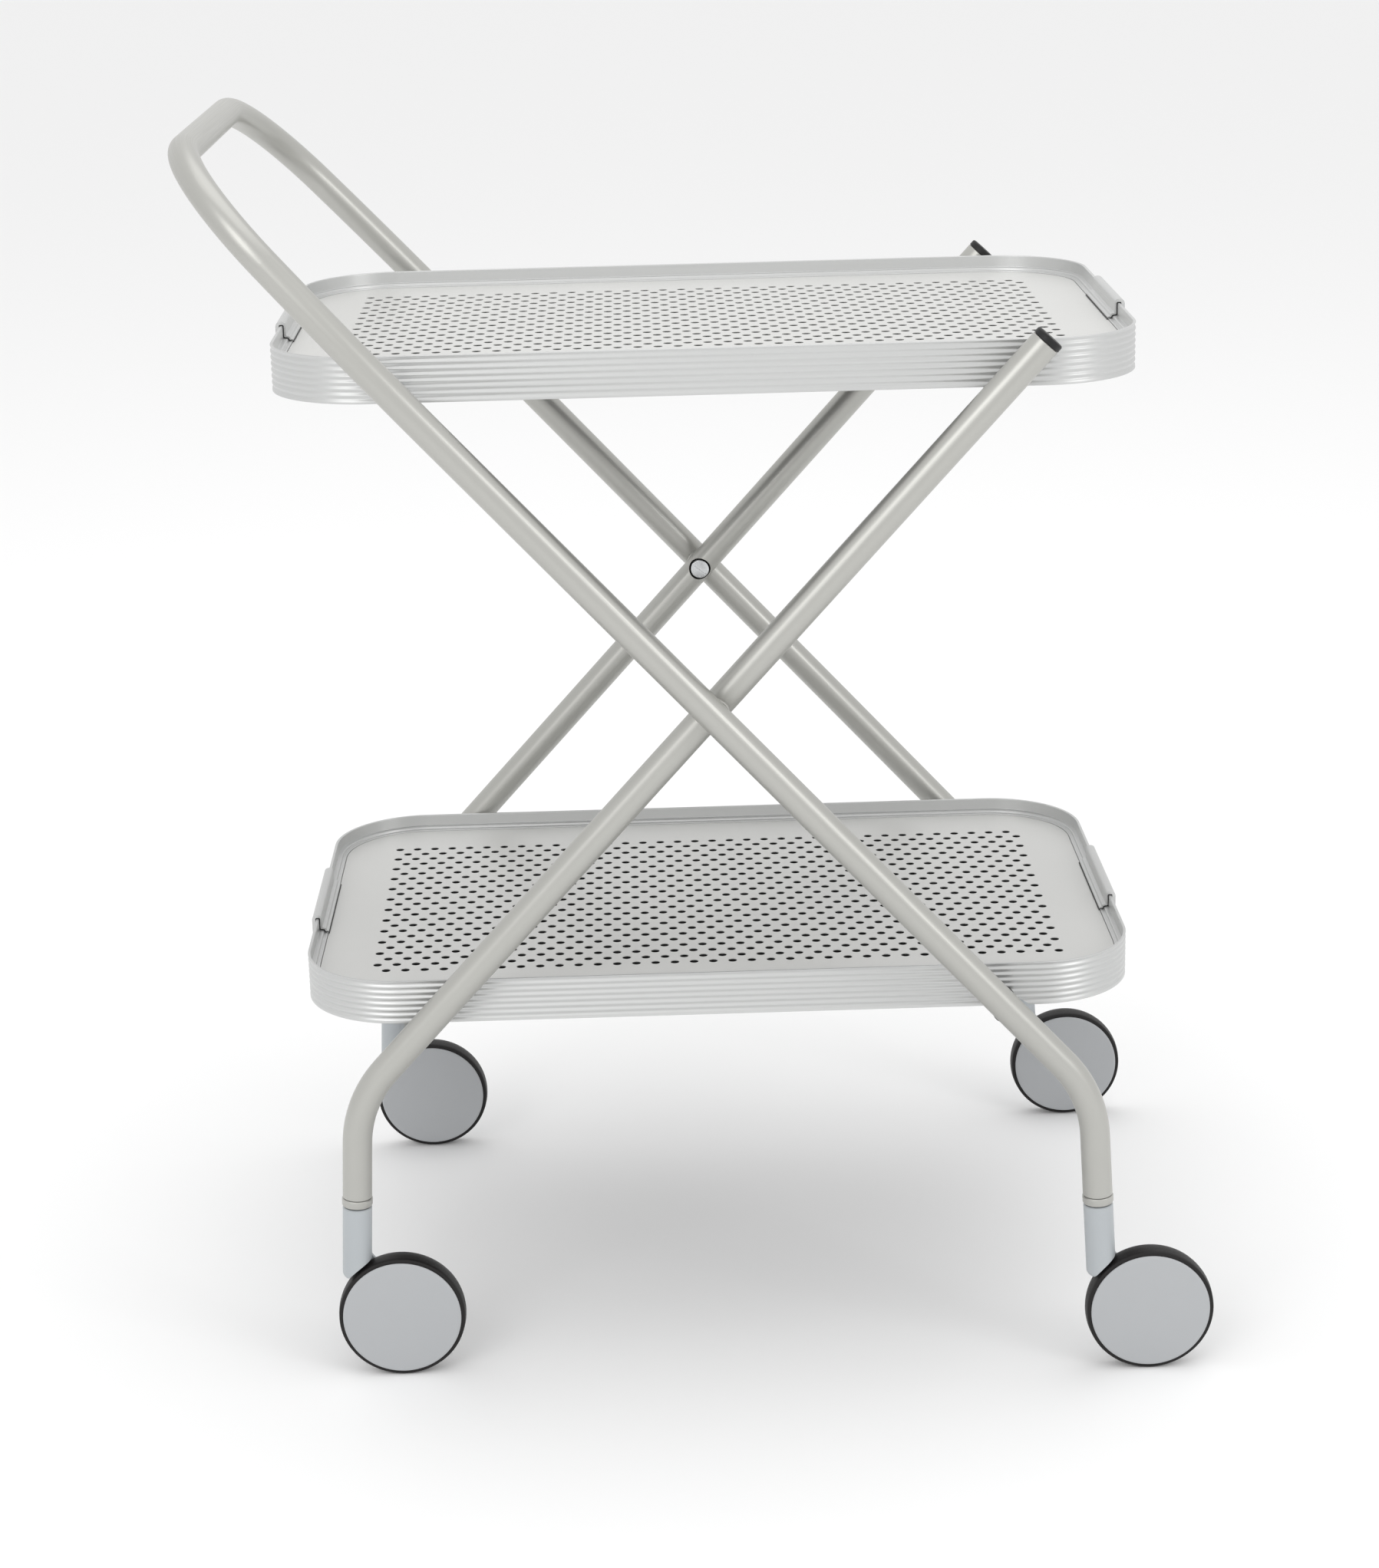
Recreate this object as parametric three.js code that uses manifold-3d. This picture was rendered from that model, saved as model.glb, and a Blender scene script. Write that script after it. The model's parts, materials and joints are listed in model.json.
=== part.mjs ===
// Folding two-tray serving trolley: an X-frame of round tube on four swivel castors, with two
// lift-off aluminium trays. Millimetres, +Z up, +Y towards the rear, +X away from the handle.
// Every piece is modelled about the fold axis, and the whole group is then set on the floor.
import * as THREE from 'three';
import { mergeVertices } from 'three/addons/utils/BufferGeometryUtils.js';
import Module from 'manifold-3d';

const wasm = await Module();
wasm.setup();

// ---------------------------------------------------------------- driving dimensions
const GAP = 0.3;                        // left between pieces that rest on or in each other
const TUBE = { r: 9, wall: 1.5, sides: 12 };
const FRAME_ANGLE = THREE.MathUtils.degToRad(47.45);  // both tubes' slope from the horizontal
const OUTER_Y = 199;                    // centre planes of the outer frame's sides
const INNER_Y = 176.3;                  // centre planes of the inner frame's sides
const PIVOT_HEIGHT = 422.3;             // fold axis above the floor
const LEG = { cornerX: 222, splay: THREE.MathUtils.degToRad(3.1), bendR: 75 };
const HANDLE = { reach: 437.8, leanFrom: 297.9, lean: THREE.MathUtils.degToRad(8.63),
  leanR: 880, cornerR: 88 };
const INNER_TUBE_TOP = 284.7;           // from the fold axis to the open end, along the tube
const PLUG = { thick: 4.3, insert: 14, insertR: 6.9 };
const ROD = { r: 3.5, sides: 12, holeR: 3.9, endInset: 4.5 };
const SLEEVE = { r: 7.8, tubeGap: 1.2, trayGap: 0.6 }; // on the lower rod, between tube and tray
const TRAY = { length: 508, width: 329, cornerR: 60, height: 27.2, cornerSteps: 5 };
const UPPER_TRAY_TOP = 210;             // rim tops, from the fold axis
const LOWER_TRAY_TOP = -169.6;
const ROD_DROP = { upper: 1, lower: 3.8 }; // outer frame's rods below its tube's centre line
const RIM = { ribs: 7, ribPitch: 3.67, ribDepth: 0.7, firstRib: 2.2, wall: 1.8, shelf: 9.5 };
const DECK = { depth: 10, thick: 1.5, inset: 7.4 };
const OUTER_ROD_HEIGHT = 5.8;           // outer frame's rods above the rim's lower edge
const LOWER_DRAW_ANGLE = THREE.MathUtils.degToRad(30); // the lower tray draws out at this rise
const GRIP_LENGTH = 94;
const STOP = { thick: 4, below: 6, above: 12, clearance: 0.6 };
const PIVOT = { barrelR: 6.2, barrelHoleR: 7.4, shaftR: 3.5, shaftHoleR: 3.9, nutR: 4.5, washerR: 8.5 };
// A castor's own frame has its origin at the leg's end, Z up the leg and X across it.
const CASTOR = { trail: 28.2, drop: 77.2, wheelR: 39.3, wheelSides: 24, hoodR: 9, hoodTop: -6.3,
  hoodBottom: -54, hoodRound: 4, clearR: 41.3, armFrom: 5.3, armTo: 9, stemR: 4, axleR: 3 };
const SOCKET = { collarR: 9.4, collar: 5.3, insertR: 6.9, insert: 24 };

const WHEEL_Z = CASTOR.wheelR - PIVOT_HEIGHT;
// The legs lean outwards and every wheel trails to +X, so the left legs end a little higher.
const legEndZ = side => WHEEL_Z + CASTOR.drop * Math.cos(LEG.splay)
  - side * CASTOR.trail * Math.sin(LEG.splay);
const HANDLE_X = HANDLE.reach * Math.cos(FRAME_ANGLE) + TUBE.r;

// ---------------------------------------------------------------- materials
const plain = (color, roughness, metalness) =>
  new THREE.MeshStandardMaterial({ color, roughness, metalness });
const MATERIAL = {
  frame: plain(0xbdbcb4, 0.45, 0.8),
  tray: plain(0xcfcfce, 0.4, 0.85),
  steel: plain(0xb9bbbd, 0.35, 1.0),
  hood: plain(0xb6bbbf, 0.5, 0.0),
  disc: plain(0xb3b6b9, 0.45, 0.0),
  tyre: plain(0x2b2828, 0.7, 0.0),
  black: plain(0x1d1d1d, 0.6, 0.0),
};

// ---------------------------------------------------------------- solids
function signedVolume(geometry) {
  const p = geometry.attributes.position;
  const index = geometry.index.array;
  const [a, b, c] = [new THREE.Vector3(), new THREE.Vector3(), new THREE.Vector3()];
  let sum = 0;
  for (let i = 0; i < index.length; i += 3) {
    a.fromBufferAttribute(p, index[i]);
    b.fromBufferAttribute(p, index[i + 1]);
    c.fromBufferAttribute(p, index[i + 2]);
    sum += a.dot(b.cross(c)) / 6;
  }
  return sum;
}

// One closed body: shared vertices merged, collapsed triangles dropped, faces pointing out.
function closedBody(geometry) {
  const bare = geometry.clone();
  bare.deleteAttribute('normal');
  bare.deleteAttribute('uv');
  const merged = mergeVertices(bare, 1e-4);
  const old = merged.index.array;
  const kept = [];
  for (let i = 0; i < old.length; i += 3) {
    const [a, b, c] = [old[i], old[i + 1], old[i + 2]];
    if (a !== b && b !== c && c !== a) kept.push(a, b, c);
  }
  merged.setIndex(kept);
  if (signedVolume(merged) < 0) {
    for (let i = 0; i < kept.length; i += 3) [kept[i], kept[i + 1]] = [kept[i + 1], kept[i]];
    merged.setIndex(kept);
  }
  return merged;
}

function toSolid(geometry) {
  const body = closedBody(geometry);
  return new wasm.Manifold(new wasm.Mesh({
    numProp: 3,
    vertProperties: new Float32Array(body.attributes.position.array),
    triVerts: new Uint32Array(body.index.array),
  }));
}

function toGeometry(solid) {
  const mesh = solid.getMesh();
  const geometry = new THREE.BufferGeometry();
  geometry.setAttribute('position', new THREE.BufferAttribute(mesh.vertProperties, 3));
  geometry.setIndex(new THREE.BufferAttribute(mesh.triVerts, 1));
  return geometry;
}

function cut(geometry, ...tools) {
  return toGeometry(tools.reduce((solid, tool) => solid.subtract(toSolid(tool)), toSolid(geometry)));
}

function join(...pieces) {
  return toGeometry(pieces.map(toSolid).reduce((solid, piece) => solid.add(piece)));
}

// A turned piece about the Y axis, from [radius, y] points. A ring's profile closes on itself.
function turned(points, sides, flatDown = false) {
  const profile = points.map(([r, y]) => new THREE.Vector2(r, y));
  const start = flatDown ? Math.PI / sides : 0;
  return closedBody(new THREE.LatheGeometry(profile, sides, start));
}

function ring(innerR, outerR, fromY, toY, sides) {
  return turned([[innerR, fromY], [outerR, fromY], [outerR, toY], [innerR, toY], [innerR, fromY]],
    sides);
}

// A plain round bar along Y between two y values.
function bar(r, fromY, toY, sides) {
  const geometry = new THREE.CylinderGeometry(r, r, Math.abs(toY - fromY), sides);
  return geometry.translate(0, (fromY + toY) / 2, 0);
}

const standUp = geometry => geometry.rotateX(Math.PI / 2);       // the turning axis Y becomes Z

// ---------------------------------------------------------------- bent tube
// A route of straight lines with round bends. Its stations are the lines' ends and even steps
// round each bend, so the tube has facets only where it curves.
class BentRoute extends THREE.Curve {
  constructor(corners) {
    super();
    this.stations = [];
    const first = corners[0].at;
    const last = corners[corners.length - 1].at;
    const direction = (from, to) => to.clone().sub(from).normalize();
    this.stations.push({ point: first, tangent: direction(first, corners[1].at) });
    for (let i = 1; i < corners.length - 1; i += 1) {
      const { at, radius, steps } = corners[i];
      const before = direction(corners[i - 1].at, at);
      const after = direction(at, corners[i + 1].at);
      const turn = before.angleTo(after);
      const start = at.clone().addScaledVector(before, -radius * Math.tan(turn / 2));
      const inward = after.clone().addScaledVector(before, -Math.cos(turn)).normalize();
      for (let k = 0; k <= steps; k += 1) {
        const a = (turn * k) / steps;
        const point = start.clone().addScaledVector(before, radius * Math.sin(a))
          .addScaledVector(inward, radius * (1 - Math.cos(a)));
        const tangent = before.clone().multiplyScalar(Math.cos(a))
          .addScaledVector(inward, Math.sin(a));
        this.stations.push({ point, tangent });
      }
    }
    this.stations.push({ point: last, tangent: direction(corners[corners.length - 2].at, last) });
  }

  get steps() { return this.stations.length - 1; }

  station(u) { return this.stations[Math.round(u * this.steps)]; }

  getPoint(u, target = new THREE.Vector3()) { return target.copy(this.station(u).point); }

  getPointAt(u, target) { return this.getPoint(u, target); }

  getTangentAt(u, target = new THREE.Vector3()) { return target.copy(this.station(u).tangent); }
}

function polygonPath(PathClass, r, sides) {
  const points = Array.from({ length: sides }, (_, k) => {
    const a = (2 * Math.PI * k) / sides;
    return new THREE.Vector2(r * Math.cos(a), r * Math.sin(a));
  });
  return new PathClass(points);
}

function bentTube(corners) {
  const route = new BentRoute(corners);
  const section = polygonPath(THREE.Shape, TUBE.r, TUBE.sides);
  section.holes.push(polygonPath(THREE.Path, TUBE.r - TUBE.wall, TUBE.sides));
  return new THREE.ExtrudeGeometry(section,
    { steps: route.steps, bevelEnabled: false, extrudePath: route });
}

// ---------------------------------------------------------------- frame geometry
// side = 1 for the legs under +X (outer frame), -1 for the legs under -X (inner frame).
const legCorner = side => new THREE.Vector3(side * LEG.cornerX, 0, -LEG.cornerX * Math.tan(FRAME_ANGLE));
const legDown = side => new THREE.Vector3(side * Math.sin(LEG.splay), 0, -Math.cos(LEG.splay));
function legEnd(side) {
  const corner = legCorner(side);
  return corner.clone().addScaledVector(legDown(side),
    (corner.z - legEndZ(side)) / Math.cos(LEG.splay));
}
const inPlane = (point, y) => point.clone().setY(y);
// A point on the outer frame's slope: reach from the fold axis towards the handle.
const onOuter = (reach, y) =>
  new THREE.Vector3(-reach * Math.cos(FRAME_ANGLE), y, reach * Math.sin(FRAME_ANGLE));
// Where a rod crosses a frame's centre line at height z from the fold axis.
const rodX = (z, slopeSide) => slopeSide * z / Math.tan(FRAME_ANGLE);

const TRAYS = [
  { name: 'upper', top: UPPER_TRAY_TOP, outerSide: -1 },
  { name: 'lower', top: LOWER_TRAY_TOP, outerSide: 1 },
].map(tray => {
  const bottom = tray.top - TRAY.height;
  const outerZ = bottom + OUTER_ROD_HEIGHT;
  const innerZ = bottom - ROD.r - GAP;
  const outerX = rodX(outerZ, -1) - ROD_DROP[tray.name] / Math.sin(FRAME_ANGLE);
  return { ...tray, bottom, outerZ, innerZ, outerX, innerX: rodX(innerZ, 1) };
});

const rightWheelX = legEnd(1).x + CASTOR.drop * Math.sin(LEG.splay)
  + CASTOR.trail * Math.cos(LEG.splay);
const trolley = new THREE.Group();
trolley.position.set((HANDLE_X - rightWheelX - CASTOR.wheelR) / 2, 0, PIVOT_HEIGHT);

function place(name, geometry, material, position = [0, 0, 0], parent = trolley) {
  const mesh = new THREE.Mesh(geometry, material);
  mesh.name = name;
  mesh.position.set(...position);
  parent.add(mesh);
  return mesh;
}

// ---------------------------------------------------------------- outer frame, with the handle
const handleCornerY = OUTER_Y - (HANDLE.reach - HANDLE.leanFrom) * Math.tan(HANDLE.lean);
const outerHalf = sign => [
  { at: inPlane(legEnd(1), sign * OUTER_Y) },
  { at: inPlane(legCorner(1), sign * OUTER_Y), radius: LEG.bendR, steps: 5 },
  { at: onOuter(HANDLE.leanFrom, sign * OUTER_Y), radius: HANDLE.leanR, steps: 3 },
  { at: onOuter(HANDLE.reach, sign * handleCornerY), radius: HANDLE.cornerR, steps: 8 },
];
const sides = [{ name: 'front', sign: -1 }, { name: 'rear', sign: 1 }];

function outerWallHoles() {
  const holes = [];
  for (const { sign } of sides) {
    const from = sign * (OUTER_Y - TUBE.r - 1);
    const to = sign * (OUTER_Y - 2);
    holes.push(bar(PIVOT.shaftHoleR, from, to, 12));
    for (const tray of TRAYS) {
      holes.push(bar(ROD.holeR, from, to, 12).translate(tray.outerX, 0, tray.outerZ));
    }
  }
  return holes;
}
place('outer_frame_tube',
  cut(bentTube([...outerHalf(-1), ...outerHalf(1).reverse()]), ...outerWallHoles()),
  MATERIAL.frame);

for (const tray of TRAYS) {
  const end = OUTER_Y - ROD.endInset;
  place(`outer_frame_rod_${tray.name}`, closedBody(bar(ROD.r, -end, end, ROD.sides)),
    MATERIAL.steel, [tray.outerX, 0, tray.outerZ]);
}
const lowerTray = TRAYS.find(tray => tray.name === 'lower');
for (const { name, sign } of sides) {
  const near = sign * (TRAY.width / 2 + SLEEVE.trayGap);
  const far = sign * (OUTER_Y - TUBE.r - SLEEVE.tubeGap);
  place(`rod_sleeve_lower_${name}`, ring(ROD.holeR, SLEEVE.r, near, far, 20), MATERIAL.black,
    [lowerTray.outerX, 0, lowerTray.outerZ]);
}

// ---------------------------------------------------------------- inner frame
const innerUp = new THREE.Vector3(Math.cos(FRAME_ANGLE), 0, Math.sin(FRAME_ANGLE));
function innerWallHoles(sign) {
  const innerWall = [sign * (INNER_Y - TUBE.r - 1), sign * (INNER_Y - 1)];
  const outerWall = [sign * INNER_Y, sign * (INNER_Y + TUBE.r + 1)];
  const holes = [bar(PIVOT.barrelHoleR, ...innerWall, 16), bar(PIVOT.shaftHoleR, ...outerWall, 12)];
  for (const tray of TRAYS) {
    holes.push(bar(ROD.holeR, ...innerWall, 12).translate(tray.innerX, 0, tray.innerZ));
  }
  return holes;
}
for (const { name, sign } of sides) {
  const y = sign * INNER_Y;
  const top = innerUp.clone().multiplyScalar(INNER_TUBE_TOP);
  const tube = bentTube([
    { at: inPlane(legEnd(-1), y) },
    { at: inPlane(legCorner(-1), y), radius: LEG.bendR, steps: 5 },
    { at: inPlane(top, y) },
  ]);
  place(`inner_frame_tube_${name}`, cut(tube, ...innerWallHoles(sign)), MATERIAL.frame);

  const plug = place(`end_plug_${name}`, turned([
    [0, -PLUG.insert], [PLUG.insertR, -PLUG.insert], [PLUG.insertR, GAP], [TUBE.r, GAP],
    [TUBE.r, PLUG.thick - 0.8], [TUBE.r - 0.8, PLUG.thick], [0, PLUG.thick]], 16), MATERIAL.black);
  plug.position.copy(inPlane(top, y));
  plug.quaternion.setFromUnitVectors(new THREE.Vector3(0, 1, 0), innerUp);
}
for (const tray of TRAYS) {
  const end = INNER_Y - ROD.endInset;
  place(`inner_frame_rod_${tray.name}`, closedBody(bar(ROD.r, -end, end, ROD.sides)),
    MATERIAL.steel, [tray.innerX, 0, tray.innerZ]);
}

// ---------------------------------------------------------------- fold pivots
// The bolt's wide barrel sits in the inner tube, and its shank ends in a nut inside the outer one.
for (const { name, sign } of sides) {
  const profile = [
    [0, INNER_Y - 8.7], [PIVOT.barrelR, INNER_Y - 8.7], [PIVOT.barrelR, INNER_Y + 3],
    [PIVOT.shaftR, INNER_Y + 3], [PIVOT.shaftR, OUTER_Y - 5], [PIVOT.nutR, OUTER_Y - 5],
    [PIVOT.nutR, OUTER_Y - 1.5], [0, OUTER_Y - 1.5]];
  place(`pivot_bolt_${name}`, turned(profile.map(([r, y]) => [r, sign * y]), 16), MATERIAL.steel);
  place(`pivot_spacer_${name}`, ring(PIVOT.shaftHoleR, PIVOT.washerR,
    sign * (INNER_Y + TUBE.r + GAP), sign * (OUTER_Y - TUBE.r - GAP), 16), MATERIAL.frame);
}

// ---------------------------------------------------------------- trays
// A rounded rectangle's corner points with their outward directions.
function trayOutline() {
  const outline = [];
  const cx = TRAY.length / 2 - TRAY.cornerR;
  const cy = TRAY.width / 2 - TRAY.cornerR;
  [[cx, cy], [-cx, cy], [-cx, -cy], [cx, -cy]].forEach(([x, y], quarter) => {
    for (let k = 0; k <= TRAY.cornerSteps; k += 1) {
      const a = (Math.PI / 2) * (quarter + k / TRAY.cornerSteps);
      outline.push({ centre: [x, y], out: [Math.cos(a), Math.sin(a)] });
    }
  });
  return outline;
}
// The outline moved inwards by inset: the corners keep their centres.
const insetPoint = ({ centre, out }, inset) =>
  centre.map((c, axis) => c + out[axis] * (TRAY.cornerR - inset));

// The rim's section as [inset, height] points: a wavy outer face, a thin wall, and a shelf with
// two small steps that frames the deck and carries its edge.
function rimSection() {
  const points = [[0.3, TRAY.height], [0, TRAY.height - 0.4]];
  for (let k = RIM.ribs - 1; k >= 0; k -= 1) {
    const crest = RIM.firstRib + k * RIM.ribPitch;
    points.push([RIM.ribDepth, crest + RIM.ribPitch / 2], [0, crest]);
  }
  points.push([RIM.ribDepth, 0.3], [RIM.ribDepth, 0]);
  const deckTop = TRAY.height - DECK.depth;
  const deckBottom = deckTop - DECK.thick;
  points.push([2.0, 0], [2.0, deckBottom - GAP - 1.5], [RIM.shelf, deckBottom - GAP - 1.5],
    [RIM.shelf, deckBottom - GAP], [DECK.inset - GAP, deckBottom - GAP],
    [DECK.inset - GAP, deckTop + 0.5], [4.8, deckTop + 0.9], [4.5, deckTop + 2.2],
    [RIM.wall, deckTop + 2.7], [RIM.wall, TRAY.height]);
  return points;
}

function sweptRim() {
  const outline = trayOutline();
  const section = rimSection();
  const positions = [];
  const index = [];
  for (const station of outline) {
    for (const [inset, height] of section) {
      positions.push(...insetPoint(station, inset), height);
    }
  }
  for (let i = 0; i < outline.length; i += 1) {
    const next = (i + 1) % outline.length;
    for (let j = 0; j < section.length; j += 1) {
      const over = (j + 1) % section.length;
      const [a, b] = [i * section.length + j, next * section.length + j];
      const [c, d] = [next * section.length + over, i * section.length + over];
      index.push(a, b, c, a, c, d);
    }
  }
  const geometry = new THREE.BufferGeometry();
  geometry.setAttribute('position', new THREE.Float32BufferAttribute(positions, 3));
  geometry.setIndex(index);
  return geometry;
}

// The notch in both long sides that drops over the outer frame's rod. It opens along the way
// the tray leaves: straight down for the upper tray, sloping for the lower one.
function rodNotch(tray) {
  const across = TRAY.width + 20;
  const round = bar(ROD.holeR, -across / 2, across / 2, 16);
  const slot = new THREE.BoxGeometry(40, across, 2 * ROD.holeR).translate(20, 0, 0);
  slot.rotateY(tray.name === 'upper' ? Math.PI / 2 : LOWER_DRAW_ANGLE);
  return [round, slot].map(tool => tool.translate(tray.outerX, 0, OUTER_ROD_HEIGHT));
}

function deckPlate() {
  const points = trayOutline().map(station => new THREE.Vector2(...insetPoint(station, DECK.inset)));
  return closedBody(new THREE.ExtrudeGeometry(new THREE.Shape(points),
    { depth: DECK.thick, bevelEnabled: false }));
}

// A sleeve snapped over the rim in the middle of each short end, as [inset, height] points.
function gripSleeve(end) {
  const deckTop = TRAY.height - DECK.depth;
  const section = [[-0.3, 14], [-0.3, 27.5], [2.1, 27.5], [2.1, deckTop + 3.05],
    [4.85, deckTop + 2.5], [5.1, deckTop + 1.2], [6.9, deckTop + 0.85], [6.9, deckTop + 2.0],
    [6.0, deckTop + 2.4], [5.6, deckTop + 3.7], [3.4, deckTop + 4.2], [3.4, 27.8], [2.6, 28.9],
    [0.9, 29.6], [-0.9, 29.4], [-2.1, 28.6], [-2.6, 27.4], [-2.6, 14]];
  const shape = new THREE.Shape(section.map(([inset, height]) =>
    new THREE.Vector2(end * (TRAY.length / 2 - inset), height)));
  const sleeve = new THREE.ExtrudeGeometry(shape, { depth: GRIP_LENGTH, bevelEnabled: false });
  return closedBody(standUp(sleeve).translate(0, GRIP_LENGTH / 2, 0));
}

for (const tray of TRAYS) {
  const group = new THREE.Group();
  group.position.z = tray.bottom;
  trolley.add(group);
  place(`${tray.name}_tray_rim`, cut(sweptRim(), ...rodNotch(tray)), MATERIAL.tray, [0, 0, 0], group);
  place(`${tray.name}_tray_deck`, deckPlate(), MATERIAL.tray,
    [0, 0, TRAY.height - DECK.depth - DECK.thick], group);
  place(`${tray.name}_tray_grip_left`, gripSleeve(-1), MATERIAL.tray, [0, 0, 0], group);
  place(`${tray.name}_tray_grip_right`, gripSleeve(1), MATERIAL.tray, [0, 0, 0], group);
  // Stops hang beyond the inner frame's rod, so the loaded tray ties the two frames together.
  for (const { name, sign } of sides) {
    const height = STOP.below + STOP.above;
    const x = tray.innerX - tray.outerSide * (ROD.r + STOP.clearance + STOP.thick / 2);
    const y = sign * (TRAY.width / 2 - 2.0 - GAP - STOP.thick / 2);
    place(`${tray.name}_tray_stop_${name}`, closedBody(new THREE.BoxGeometry(STOP.thick, STOP.thick,
      height)), MATERIAL.tray, [x, y, STOP.above - height / 2], group);
  }
}

// ---------------------------------------------------------------- castors
const AXLE = { x: CASTOR.trail, z: -CASTOR.drop };

function castorStem() {
  const r = CASTOR.stemR;
  const shoulder = CASTOR.hoodTop + GAP;
  return standUp(turned([
    [0, CASTOR.hoodTop - 15], [r, CASTOR.hoodTop - 15], [r, shoulder], [6.6, shoulder],
    [6.6, shoulder + 0.4], [r, shoulder + 0.4], [r, CASTOR.hoodTop + 19],
    [r - 0.7, CASTOR.hoodTop + 20], [0, CASTOR.hoodTop + 20]], 12));
}

// The arm's outline: two round ends, in the hood and at the axle, joined by their tangents.
function armPlate() {
  const hood = { x: 0.5, z: -44, r: 7.5 };
  const axle = { ...AXLE, r: 9 };
  const points = [];
  const along = Math.atan2(axle.z - hood.z, axle.x - hood.x);
  const tilt = Math.acos((hood.r - axle.r) / Math.hypot(axle.x - hood.x, axle.z - hood.z));
  const arc = (centre, from, to) => {
    for (let k = 0; k <= 6; k += 1) {
      const a = from + ((to - from) * k) / 6;
      points.push(new THREE.Vector2(centre.x + centre.r * Math.cos(a),
        centre.z + centre.r * Math.sin(a)));
    }
  };
  arc(axle, along - tilt, along + tilt);
  arc(hood, along + tilt, along + 2 * Math.PI - tilt);
  const plate = new THREE.ExtrudeGeometry(new THREE.Shape(points),
    { depth: CASTOR.armTo - CASTOR.armFrom, bevelEnabled: false });
  return standUp(plate).translate(0, CASTOR.armTo, 0);
}

function castorHousing() {
  const { hoodR, hoodTop, hoodBottom, hoodRound } = CASTOR;
  const profile = [[0, hoodBottom]];
  for (let k = 0; k <= 4; k += 1) {
    const a = (Math.PI / 8) * k;
    profile.push([hoodR - hoodRound * (1 - Math.sin(a)),
      hoodBottom + hoodRound * (1 - Math.cos(a))]);
  }
  profile.push([hoodR, hoodTop], [0, hoodTop]);
  const hood = standUp(turned(profile, 24));
  const wheelSpace = bar(CASTOR.clearR, -12, CASTOR.armFrom, 36).translate(AXLE.x, 0, AXLE.z);
  const stemHole = standUp(bar(CASTOR.stemR + 0.4, hoodTop - 15.5, hoodTop + 1, 12));
  const axleHole = bar(CASTOR.axleR + 0.3, 0, 12, 12).translate(AXLE.x, 0, AXLE.z);
  return cut(join(hood, armPlate()), wheelSpace, stemHole, axleHole);
}

const wheelPiece = (points, round) => turned(points, round, true);
const circumscribed = r => r / Math.cos(Math.PI / CASTOR.wheelSides);

const castorTyre = () => {
  const tread = circumscribed(CASTOR.wheelR);
  return wheelPiece([[34.6, -8], [tread - 1.7, -8], [tread - 0.7, -6.4], [tread, -3.2],
    [tread, 0.1], [tread - 0.7, 3.3], [tread - 1.7, 4.9], [34.6, 4.9], [34.6, -8]],
  CASTOR.wheelSides);
};
const castorHub = () => wheelPiece([[3.4, -4], [31, -4], [31, -7.4], [34.2, -7.4], [34.2, 4.4],
  [3.4, 4.4], [3.4, -4]], CASTOR.wheelSides);
const castorDisc = () => wheelPiece([[0, -9.3], [35.5, -9.3], [36.4, -8.8], [36.4, -8.3],
  [30.6, -8.3], [30.6, -4.3], [29, -4.3], [29, -8.3], [0, -8.3]], CASTOR.wheelSides);
const castorAxle = () => turned([[0, -6.6], [5.6, -6.6], [5.6, -4.4], [CASTOR.axleR, -4.4],
  [CASTOR.axleR, 8.8], [0, 8.8]], 12);

// The socket's collar closes the leg's end, and its insert holds the stem.
function castorSocket() {
  const { collarR, collar, insertR, insert } = SOCKET;
  const body = standUp(turned([[0, -collar], [collarR - 0.5, -collar], [collarR, 0.5 - collar],
    [collarR, -GAP], [insertR, -GAP], [insertR, insert], [0, insert]], 16));
  return cut(body, standUp(bar(CASTOR.stemR + 0.4, -10, 15, 12)));
}

const CORNERS = [
  { name: 'front_left', side: -1, y: -INNER_Y },
  { name: 'rear_left', side: -1, y: INNER_Y },
  { name: 'front_right', side: 1, y: -OUTER_Y },
  { name: 'rear_right', side: 1, y: OUTER_Y },
];
for (const { name, side, y } of CORNERS) {
  const castor = new THREE.Group();
  castor.position.copy(inPlane(legEnd(side), y));
  castor.rotation.y = -side * LEG.splay;
  trolley.add(castor);
  const wheel = new THREE.Group();
  wheel.position.set(AXLE.x, 0, AXLE.z);
  wheel.rotation.y = side * LEG.splay;
  castor.add(wheel);
  const parts = [
    ['castor_socket', castorSocket(), MATERIAL.frame, castor],
    ['castor_stem', castorStem(), MATERIAL.steel, castor],
    ['castor_housing', castorHousing(), MATERIAL.hood, castor],
    ['castor_axle', castorAxle(), MATERIAL.steel, wheel],
    ['wheel_hub', castorHub(), MATERIAL.hood, wheel],
    ['wheel_tyre', castorTyre(), MATERIAL.tyre, wheel],
    ['wheel_disc', castorDisc(), MATERIAL.disc, wheel],
  ];
  for (const [part, geometry, material, group] of parts) {
    place(`${part}_${name}`, geometry, material, [0, 0, 0], group);
  }
}

export default trolley;
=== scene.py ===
"""Looks for a folding two-tray serving trolley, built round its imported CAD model.

Shapes are written in millimetres about the fold axis, as the CAD is, and become metres in the
row frame when a piece is made. +X points away from the handle, and +Z is up.
"""
import json
import math

import bmesh
import bpy
from mathutils import Matrix, Vector


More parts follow.
